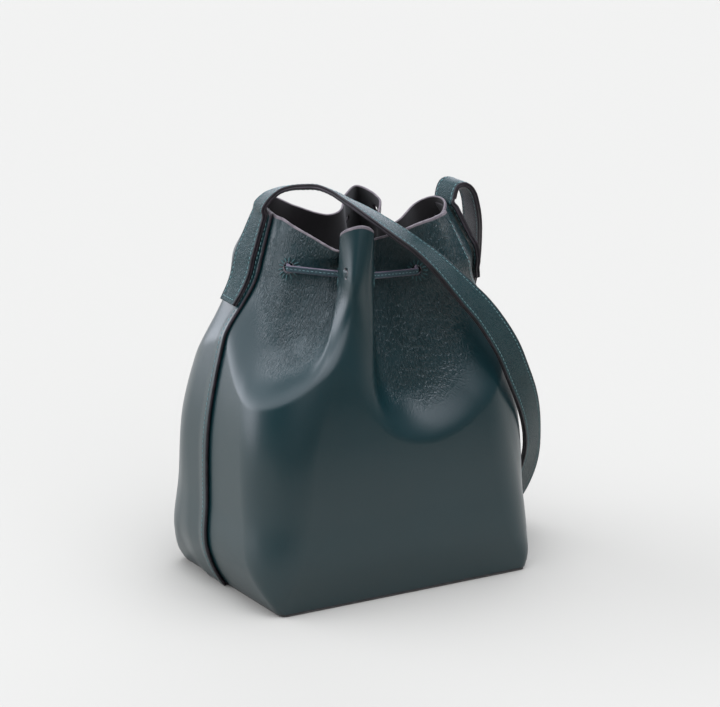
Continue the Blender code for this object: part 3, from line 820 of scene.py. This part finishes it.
def add_lie(panel, shares, level, points):
    """Vertex data for the grain: where each point lies on the flat hide, and how gathered it is."""
    along = np.broadcast_to(shares * HIDE_GIRTH, points.shape[:2])
    rise = np.linalg.norm(np.diff(points, axis=0), axis=-1)
    up = np.vstack([np.zeros((1, points.shape[1])), np.cumsum(rise, axis=0)])
    lie = np.stack([along, up, np.zeros_like(up)], axis=-1).reshape(-1, 3) * MM
    gather = ease(GATHER_START, GATHER_FULL, sunk(shares[None, :], level[:, None])).reshape(-1)
    mesh = panel.data
    count = len(mesh.vertices)
    both = np.vstack([lie, lie])
    lies = np.zeros((count, 3))
    lies[:len(both)] = both
    amounts = np.zeros(count)
    amounts[:2 * len(gather)] = np.concatenate([gather, gather])
    mesh.attributes.new("lie", "FLOAT_VECTOR", "POINT").data.foreach_set("vector", lies.reshape(-1))
    mesh.attributes.new("gather", "FLOAT", "POINT").data.foreach_set("value", amounts)


def build_seam_stitches(name, lapped_end, side, material):
    level = np.linspace(0.012, 0.985, 160)
    _, per_share = span_of_share(lapped_end)
    share = np.full_like(level, lapped_end + side * (STITCH_INSET + 0.6) / per_share)
    points, _, normals = wall_frame(share, level)
    lift = lap(share, lapped_end)
    points = points + normals * lift[:, None]
    centres, along, out = every(points, STITCH_PITCH, normals)
    row = stitches(name, centres, slant(along, out, 6), out, STITCH_LENGTH, STITCH_THICK,
                   material, 0.05)
    return settle(row, BAG, "thread")


def span_of_share(share):
    """Point on the wall half way up, and millimetres of wall to a whole share there."""
    ends = wall(np.array([share - SHARE_STEP, share + SHARE_STEP]), np.array([0.4, 0.4]))
    return ends.mean(axis=0), np.linalg.norm(ends[1] - ends[0]) / (2 * SHARE_STEP)


def build_eyelet(number, share, material):
    """Buttonhole thread: separate stitches over the edge of the hole, like spokes."""
    step = SHARE_STEP
    level = np.array(GATHER_T)
    per_share = np.linalg.norm(wall(share + step, level) - wall(share - step, level)) / (2 * step)
    per_level = np.linalg.norm(wall(share, level + step) - wall(share, level - step)) / (2 * step)
    count = 14
    angles = 2 * pi * (np.arange(count) + 0.5 * (number % 2)) / count
    middle = (EYELET_RADIUS + RING_RADIUS) / 2

    def ring(radius):
        return wall_frame(share + np.cos(angles) * radius / per_share,
                          level + np.sin(angles) * radius / per_level)

    inner, outer = ring(EYELET_RADIUS - 0.2)[0], ring(RING_RADIUS)[0]
    centres, _, normals = ring(middle)
    long = stitches(f"eyelet_spokes_{number}", centres, unit(outer - inner), normals,
                    RING_RADIUS - EYELET_RADIUS + 0.6, 0.75, material, 0.12)
    return settle(long, BAG, "thread", f"eyelet_stitching_{number}")


# ---------------------------------------------------------------- base
def build_plate(name, inset, bottom, thickness, materials, slot, node):
    """Flat plate with rounded edges, inset from the base's outline."""
    radius = max(BASE_RADIUS - inset, 3.0)
    steps = 160
    shares = np.arange(steps) / steps
    rings = []
    rounding = thickness / 2
    turns = [pi * k / 8 - pi / 2 for k in range(9)]
    profile = [(rounding * (1 - cos(turn)), rounding * (1 + sin(turn))) for turn in turns]
    for inward, height in profile:
        half_w, half_d = BASE_HALF_W - inset - inward, BASE_HALF_D - inset - inward
        size = [np.full(steps, value) for value in (half_w, half_d, max(radius - inward, 1.0))]
        x, y = rounded_outline(*size, shares)
        rings.append(np.stack([x, y, np.full(steps, bottom + height)], axis=1))
    verts = np.vstack(rings)
    faces, slots = [], []
    for ring in range(len(rings) - 1):
        for k in range(steps):
            after = (k + 1) % steps
            low, high = ring * steps, (ring + 1) * steps
            faces.append((low + k, low + after, high + after, high + k))
            slots.append(1)
    faces += [tuple(range(steps))[::-1], tuple((len(rings) - 1) * steps + k for k in range(steps))]
    slots += [0, 0]
    plate = make_object(name, verts, faces, materials, slots)
    plate.data.set_sharp_from_angle(angle=radians(50))
    return settle(plate, BAG, slot, node)


# ---------------------------------------------------------------- strap
def tab_path(tab, lift):
    low_share, top_share, low_level = tab
    along = np.arange(TAB_STEPS + 1) / TAB_STEPS
    level = low_level + (TAB_TOP - low_level) * along
    share = low_share + (top_share - low_share) * along
    points, tangents, normals = wall_frame(share, level)
    return points + normals * lift, tangents


def strap_path(steps):
    left, left_width = tab_path(LEFT_TAB, LAP_LIFT + STRAP_STACK / 2 + GAP + 2 * TAB_EASE)
    right, right_width = tab_path(RIGHT_TAB, STRAP_STACK / 2 + GAP + TAB_EASE)
    centres = np.vstack([left, [point for point, _ in STRAP_ROUTE], right[::-1]])
    widths = np.vstack([-left_width, [way for _, way in STRAP_ROUTE], -right_width[::-1]])
    return open_curve(centres, steps), unit(open_curve(widths, steps))


def ply_profile(width, thickness, side):
    """Half-round edges, a groove under each stitch row and a slightly crowned face between."""
    half, groove = width / 2, width / 2 - STITCH_INSET
    right = [(groove * 0.4, 0.1), (groove - 0.8, 0.04), (groove, -0.14), (groove + 0.5, 0.0),
             (half - 0.7, 0.0)]
    face = [(-a, f) for a, f in right[::-1]] + [(0.0, 0.12)] + right
    edge = [(half - 0.7 + 0.7 * sin(angle), -0.62 + 0.62 * cos(angle)) for angle in (0.5, 1.0, pi / 2)]
    inner = [(half - 0.02, -thickness + 0.1), (half - 0.3, -thickness), (-half + 0.3, -thickness),
             (-half + 0.02, -thickness + 0.1)]
    other = [(-a, f) for a, f in edge[::-1]]
    points = face + edge + inner + other
    marks = [0] * (len(face) - 1) + [1] * (len(edge) + 1) + [1, 1, 1] + [1] * (len(other) + 1)
    if side < 0:
        points = [(a, -f) for a, f in points][::-1]
        marks = marks[:-1][::-1] + [1]
    return points, marks[:len(points)]


def build_strap(outer, lining, edge, thread):
    centres, widths = strap_path(9)
    across, face = path_frames(centres, widths)
    reach = STRAP_PLY + GAP / 2
    for side, name, material, node in ((1, "strap_outer_ply", outer, "strap_outer"),
                                       (-1, "strap_inner_ply", lining, "strap_lining")):
        profile, marks = ply_profile(STRAP_WIDTH, reach - 0.03, side)
        ply = sweep(name, centres + face * side * reach, across, face, profile, [material, edge], marks)
        settle(ply, BAG, "strap_leather", node)
        for row, offset in (("a", -1), ("b", 1)):
            line = centres + across * offset * (STRAP_WIDTH / 2 - STITCH_INSET) + face * side * reach
            spots, along, out = every(line, STITCH_PITCH, face * side, margin=4.0)
            seam = stitches(f"{name}_stitches_{row}", spots, slant(along, out, 5 * offset), out,
                            STITCH_LENGTH, STITCH_THICK, thread, -0.05)
            settle(seam, BAG, "thread")
    for name, index, side in (("left", 0, 1), ("right", -1, -1)):
        ahead = unit(np.gradient(centres, axis=0))[index]
        out = face[index] * side
        count = 5
        spread = (np.arange(count) - (count - 1) / 2) * 2.9
        spots = centres[index] + ahead * side * 3.0 + out * reach + across[index] * spread[:, None]
        bar = stitches(f"strap_end_stitches_{name}", spots, np.tile(across[index], (count, 1)),
                       np.tile(out, (count, 1)), STITCH_LENGTH, STITCH_THICK, thread, 0.1)
        settle(bar, BAG, "thread")


def build_backing(name, tab, materials, node):
    """Patch inside the wall that takes a strap end's stitching."""
    low_share, top_share, low_level = tab
    along = np.linspace(0.0, 1.0, 40)
    level = low_level + (TAB_TOP - low_level) * along
    middle = low_share + (top_share - low_share) * along
    spread = np.linspace(-1.0, 1.0, 14) * BACKING_SHARE
    points, _, normals = wall_frame(middle[:, None] + spread[None, :],
                                    np.repeat(level[:, None], len(spread), axis=1))
    patch = shell(name, points - normals * (LEATHER + GAP), BACKING_THICK, materials)
    return settle(patch, BAG, "raw_leather", node)


# ---------------------------------------------------------------- lace
def through_eyelet(number):
    point, _, normal = wall_frame(np.array(EYELETS[number]), np.array(GATHER_T))
    middle = point - normal * (LEATHER / 2)
    way = unit(np.array((*LACE_WAYS[number], 0.0)))
    pinch = UP * (LACE_PINCHED / LACE_WIDTH)
    return [(middle + way * along, pinch) for along in (-4.2, -1, 1, 4.2)]


def end_top(side):
    return np.array(LACE_END_TOP) + np.array((side * LACE_END_APART / 2, 0, 0))


def lace_path(steps):
    across = np.array((1.0, 0.0, 0.0))
    way = unit(np.array(LACE_END_WAY))
    start = [(end_top(-1) - way * GAP, across), (end_top(-1) - way * 2.6, across),
             ((33.0, 61.0, 208.6), unit(across + UP * 0.5)),
             ((30.0, 59.8, 211.9), unit(UP + across * 0.5)),
             ((24.5, 56.6, 212.6), UP), ((14.5, 50.0, 212.0), UP), ((-8.0, 44.0, 211.5), UP)]
    stops = [spot for number in (5, 0, 1, 2, 3, 4) for spot in through_eyelet(number)]
    end = [((45.6, 22.0, 208.5), UP), ((43.2, 44.0, 209.8), UP),
           ((43.2, 54.0, 211.2), unit(UP + across * 0.1)),
           ((43.4, 60.4, 210.6), unit(UP * 0.9 + across * 0.6)),
           ((42.6, 61.8, 207.6), unit(UP * 0.3 + across)),
           (end_top(1) - way * 2.6, across), (end_top(1) - way * GAP, across)]
    points, turns = zip(*(start + stops + end))
    return open_curve(points, steps), open_curve(turns, steps)


def lace_profile():
    """Flat lace with rounded edges, whose pale mauve is partly edge paint and partly painted sheen, and
    a shallow groove under its one stitch row.
    """
    half, thick = LACE_WIDTH / 2, LACE_THICK / 2
    face = [(-half + 0.6, thick), (-0.7, thick + 0.04), (0.0, thick - 0.12), (0.7, thick + 0.04),
            (half - 0.6, thick)]
    edge = [(half - 0.6 + 0.6 * sin(a), thick * cos(a)) for a in (0.6, 1.2, pi / 2, 1.94, 2.54)]
    back = [(-a, -f) for a, f in face]
    other = [(-a, -f) for a, f in edge]
    marks = [0] * 4 + [1] * 6 + [0] * 4 + [1] * 6
    return face + edge + back + other, marks


def lace_stitches(name, centres, out, thread):
    """The one row of small stitches down the middle of the lace's face on the side of out."""
    line = centres + out * (LACE_THICK / 2 - 0.05)
    spots, along, out = every(line, LACE_STITCH_PITCH, out)
    return stitches(name, spots, along, out, LACE_STITCH_LENGTH, 0.4, thread, -0.02)


def build_lace(material, edge, thread):
    centres, widths = lace_path(6)
    pinch = np.linalg.norm(widths, axis=1)
    across, face = path_frames(centres, widths)
    profile, marks = lace_profile()
    lace = sweep("lace", centres, across, face, profile, [material, edge], marks, pinch)
    settle(lace, BAG, "lace_leather", "drawstring")
    for side, name in ((1, "outside"), (-1, "inside")):
        row = lace_stitches(f"lace_stitches_{name}", centres, face * side, thread)
        settle(row, BAG, "thread")


def build_lace_end(name, side, material, edge, thread):
    way = unit(np.array(LACE_END_WAY))
    top = end_top(side)
    run = np.linspace(0.0, LACE_END_LENGTH, 25)
    centres = top + way * run[:, None]
    across, face = path_frames(centres, np.tile((1.0, 0.0, 0.0), (len(run), 1)))
    profile, marks = lace_profile()
    end = sweep(f"lace_tail_{name}", centres, across, face, profile, [material, edge], marks)
    settle(end, BAG, "lace_leather", f"lace_end_{name}")
    outward = face * np.sign(face[0][1])
    row = lace_stitches(f"lace_tail_stitches_{name}", centres, outward, thread)
    settle(row, BAG, "thread")
    knot = build_knot(name, side, material)


def build_knot(name, side, material):
    """Overhand knot: a trefoil of the lace drawn tight into a small lump."""
    way = unit(np.array(LACE_END_WAY))
    middle = end_top(side) + way * (LACE_END_LENGTH + GAP + KNOT_SIZE[2] / 2)
    turns = np.linspace(0.0, 2 * pi, 61)[:-1]
    line = np.stack([np.sin(turns) + 2 * np.sin(2 * turns), np.cos(turns) - 2 * np.cos(2 * turns),
                     -1.6 * np.sin(3 * turns)], axis=1)
    tube = 1.55
    reach = np.abs(line).max(axis=0)
    line = line / reach * (np.array(KNOT_SIZE) / 2 - tube)
    ahead = unit(np.roll(line, -1, axis=0) - np.roll(line, 1, axis=0))
    side_way = unit(np.cross(ahead, line + 1e-3))
    other = np.cross(ahead, side_way)
    sides = 12
    around = 2 * pi * np.arange(sides) / sides
    rings = (line[:, None] + side_way[:, None] * (tube * np.cos(around))[None, :, None]
             + other[:, None] * (tube * np.sin(around))[None, :, None])
    count = len(line)
    faces = [(i * sides + j, i * sides + (j + 1) % sides, ((i + 1) % count) * sides + (j + 1) % sides,
              ((i + 1) % count) * sides + j) for i in range(count) for j in range(sides)]
    knot = make_object(f"lace_knot_lump_{name}", rings.reshape(-1, 3) + middle, faces, [material])
    return settle(knot, BAG, "lace_leather", f"lace_knot_{name}")


def build_slider(material, edge, thread):
    """Keeper: a band of strap leather round both ends, pinched and sewn between them."""
    way = unit(np.array(LACE_END_WAY))
    across = np.array((1.0, 0.0, 0.0))
    out = np.cross(-way, across)
    middle = np.array(LACE_END_TOP) + way * SLIDER_DROP
    half_w, half_d, height = SLIDER_SIZE[0] / 2, SLIDER_SIZE[1] / 2, SLIDER_SIZE[2]
    steps, rows = 96, 12
    shares = np.linspace(0.0, 1.0, steps + 1)
    size = [np.full(steps + 1, value) for value in (half_w, half_d, half_d * 0.85)]
    x, y = rounded_outline(*size, shares)
    y = y * (1 - 0.34 * np.exp(-(x / 1.5) ** 2))
    rise = np.linspace(-height / 2, height / 2, rows)
    points = (middle + across * x[None, :, None] + out * y[None, :, None] - way * rise[:, None, None])
    band = shell("keeper_band", points, 1.25, [material, material, edge], rounds=5)
    settle(band, SLIDER, "strap_leather", "lace_slider")
    for side, name in ((1, "outside"), (-1, "inside")):
        run = np.linspace(-height / 2 + 1.2, height / 2 - 1.2, 20)
        line = middle + out * side * half_d * 0.66 - way * run[:, None]
        spots, along, normal = every(line, 2.4, np.tile(out * side, (20, 1)), margin=0.6)
        row = stitches(f"keeper_stitches_{name}", spots, along, normal, LACE_STITCH_LENGTH, 0.45,
                       thread, 0.05)
        settle(row, SLIDER, "thread")


# ---------------------------------------------------------------- the scene
def main():
    add_camera()
    bpy.context.scene.view_settings.view_transform = "Standard"
    leather = body_leather()
    strap = grained_leather("grained_teal_leather", (0.002, 0.018, 0.021), (0.009, 0.040, 0.044),
                            0.46, 0.30)
    lining = grained_leather("dark_lining_leather", (0.010, 0.010, 0.018), (0.022, 0.023, 0.036),
                             0.5, 0.12)
    # The lace's grey-blue, lighter than the strap's teal, is partly its own colour and partly a painted
    # grazing reflection.
    lace = grained_leather("lace_leather_and_painted_sheen", (0.020, 0.040, 0.050), (0.036, 0.062, 0.074),
                           0.5, 0.06)
    dark_edge = painted_edge("dark_edge_paint", (0.008, 0.006, 0.008), (0.020, 0.013, 0.018), 0.42)
    # The base plate's grey edge is partly edge paint and partly painted shadow: it stands in for the
    # floor's contact shadow under the wall.
    base_edge_and_shadow = painted_edge("grey_edge_and_painted_shadow", (0.050, 0.047, 0.046), (0.080, 0.076, 0.074), 0.55)
    # The pale rim edge is partly edge paint and partly a painted highlight: the light that the rounded
    # edge catches.
    rim_edge_and_highlight = painted_edge("pale_edge_and_painted_highlight", (0.10, 0.085, 0.095), (0.17, 0.145, 0.155), 0.5)
    # The lace's pale mauve edges are partly edge paint and partly painted sheen.
    lace_edge_and_sheen = painted_edge("lace_edge_and_painted_sheen", (0.075, 0.060, 0.085), (0.12, 0.10, 0.13), 0.45)
    raw = flesh_side("raw_flesh_side", (0.005, 0.004, 0.004), (0.011, 0.008, 0.009))
    thread = thread_material("teal_thread", (0.085, 0.17, 0.175), (0.15, 0.27, 0.28))
    ring_thread = thread_material("dark_teal_thread", (0.020, 0.060, 0.064), (0.040, 0.10, 0.105))

    for name, side in (("left", -1), ("right", 1)):
        build_lace_end(name, side, lace, lace_edge_and_sheen, thread)
    add_floor(floor_material())
    add_flag(card_material())
    add_world()

    # The front panel's side edges and both panels' top edges take the pale edge, which is partly a
    # painted highlight; the back panel's side edges stay dark.
    build_panel("front_body_panel", -LAP_SHARE, 0.5, 0.5,
                [leather, raw, rim_edge_and_highlight, rim_edge_and_highlight, dark_edge], "front_panel")
    build_panel("back_body_panel", 0.5 - LAP_SHARE, 1.0, 1.0,
                [leather, raw, dark_edge, rim_edge_and_highlight, dark_edge], "back_panel")
    build_seam_stitches("left_seam_stitches", 1.0, -1, thread)
    build_seam_stitches("right_seam_stitches", 0.5, -1, thread)
    for number, share in enumerate(EYELETS, 1):
        build_eyelet(number, share, ring_thread)
    # The base plate's edge takes the grey colour, which is partly painted shadow.
    build_plate("base_leather", 0.0, 0.0, BASE_THICK, [leather, base_edge_and_shadow], "body_leather",
                "base_panel")
    board = board_material()
    build_plate("stiffener_board", BOARD_INSET, WALL_FOOT, BOARD_THICK, [board, board], "board",
                "base_board")
    build_plate("inside_base_cover", BOARD_INSET, WALL_FOOT + BOARD_THICK + GAP, INNER_BASE_THICK,
                [raw, raw], "raw_leather", "inner_base")
    build_strap(strap, lining, dark_edge, thread)
    build_backing("left_backing_patch", LEFT_TAB, [raw, raw, dark_edge], "left_strap_backing")
    build_backing("right_backing_patch", RIGHT_TAB, [raw, raw, dark_edge], "right_strap_backing")
    build_lace(lace, lace_edge_and_sheen, thread)
    build_slider(strap, dark_edge, thread)


main()
